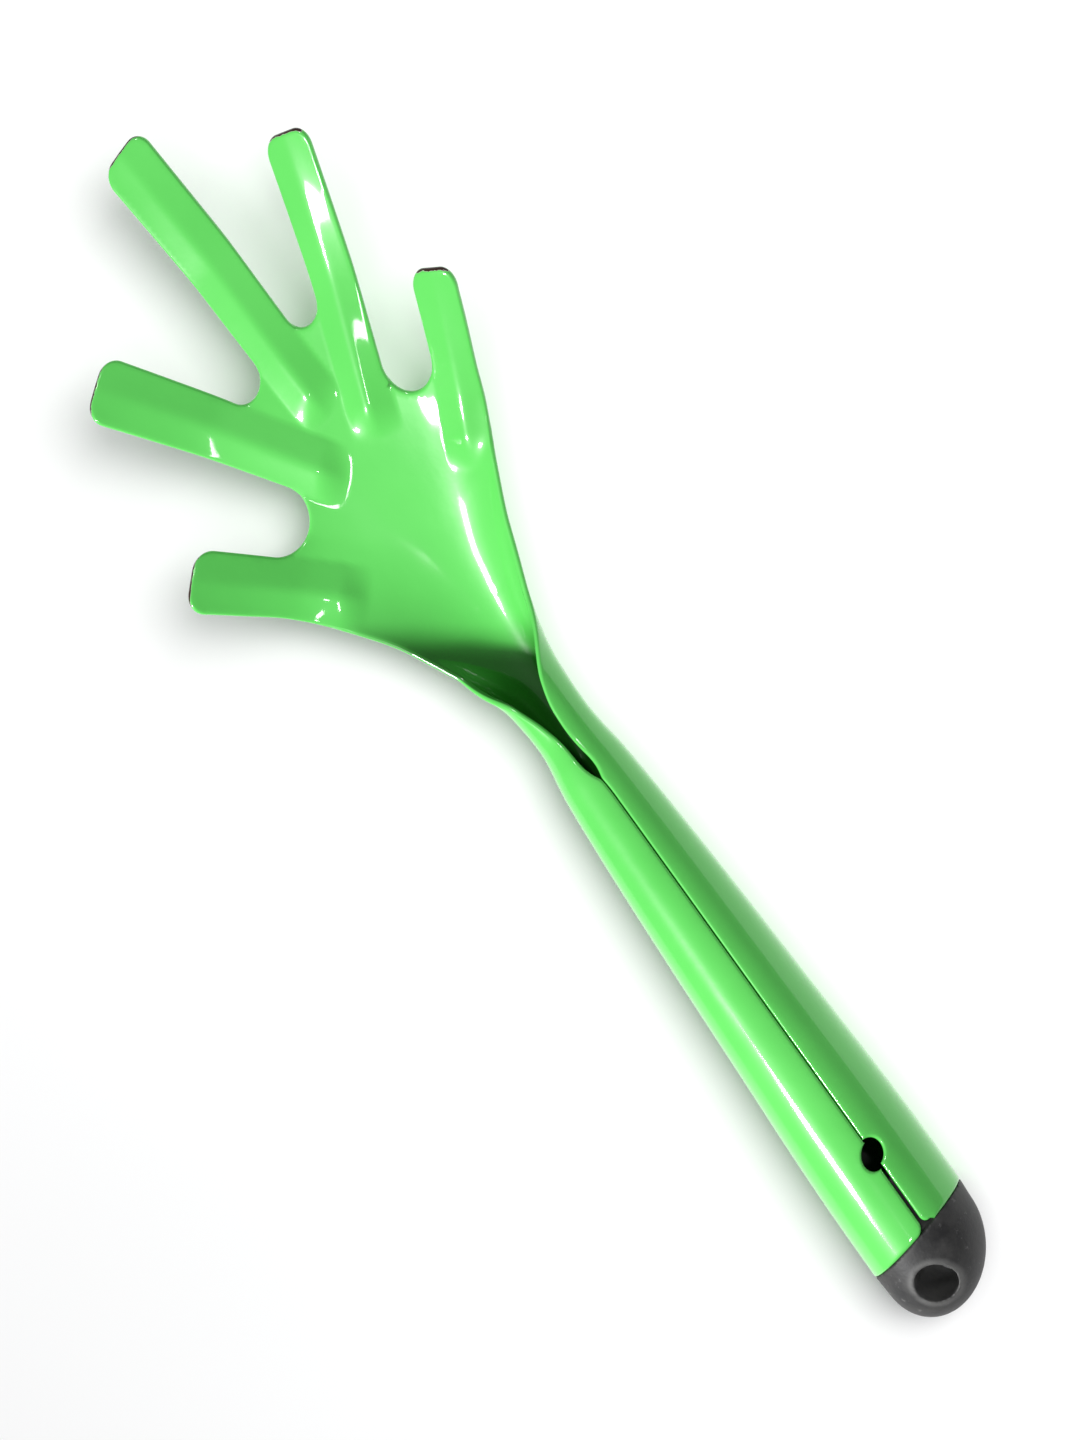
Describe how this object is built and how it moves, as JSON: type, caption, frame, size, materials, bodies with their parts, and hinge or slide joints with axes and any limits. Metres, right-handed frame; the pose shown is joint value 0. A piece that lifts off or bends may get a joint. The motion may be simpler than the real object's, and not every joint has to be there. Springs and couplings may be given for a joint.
{
  "type": "hand rake",
  "caption": "Short-handled garden hand rake: a spread claw of flat fingers and a dished palm pressed from one sheet that rolls into a tubular handle, with a domed plug and a hanging hole.",
  "frame": {"origin": "middle of the tool's length and width, at its lowest point, with the tool lying on its back", "axes": "+X along the handle toward the finger tips, +Z out of the open side of the palm, +Y to the left of someone looking along +X"},
  "size_m": [0.335, 0.0984, 0.0423],
  "materials": {
    "green_enamel": "glossy light green enamel over steel",
    "black_plastic": "moulded charcoal, matt"
  },
  "bodies": {
    "root": {"rake_body": "green_enamel", "end_cap": "black_plastic"}
  },
  "joints": []
}
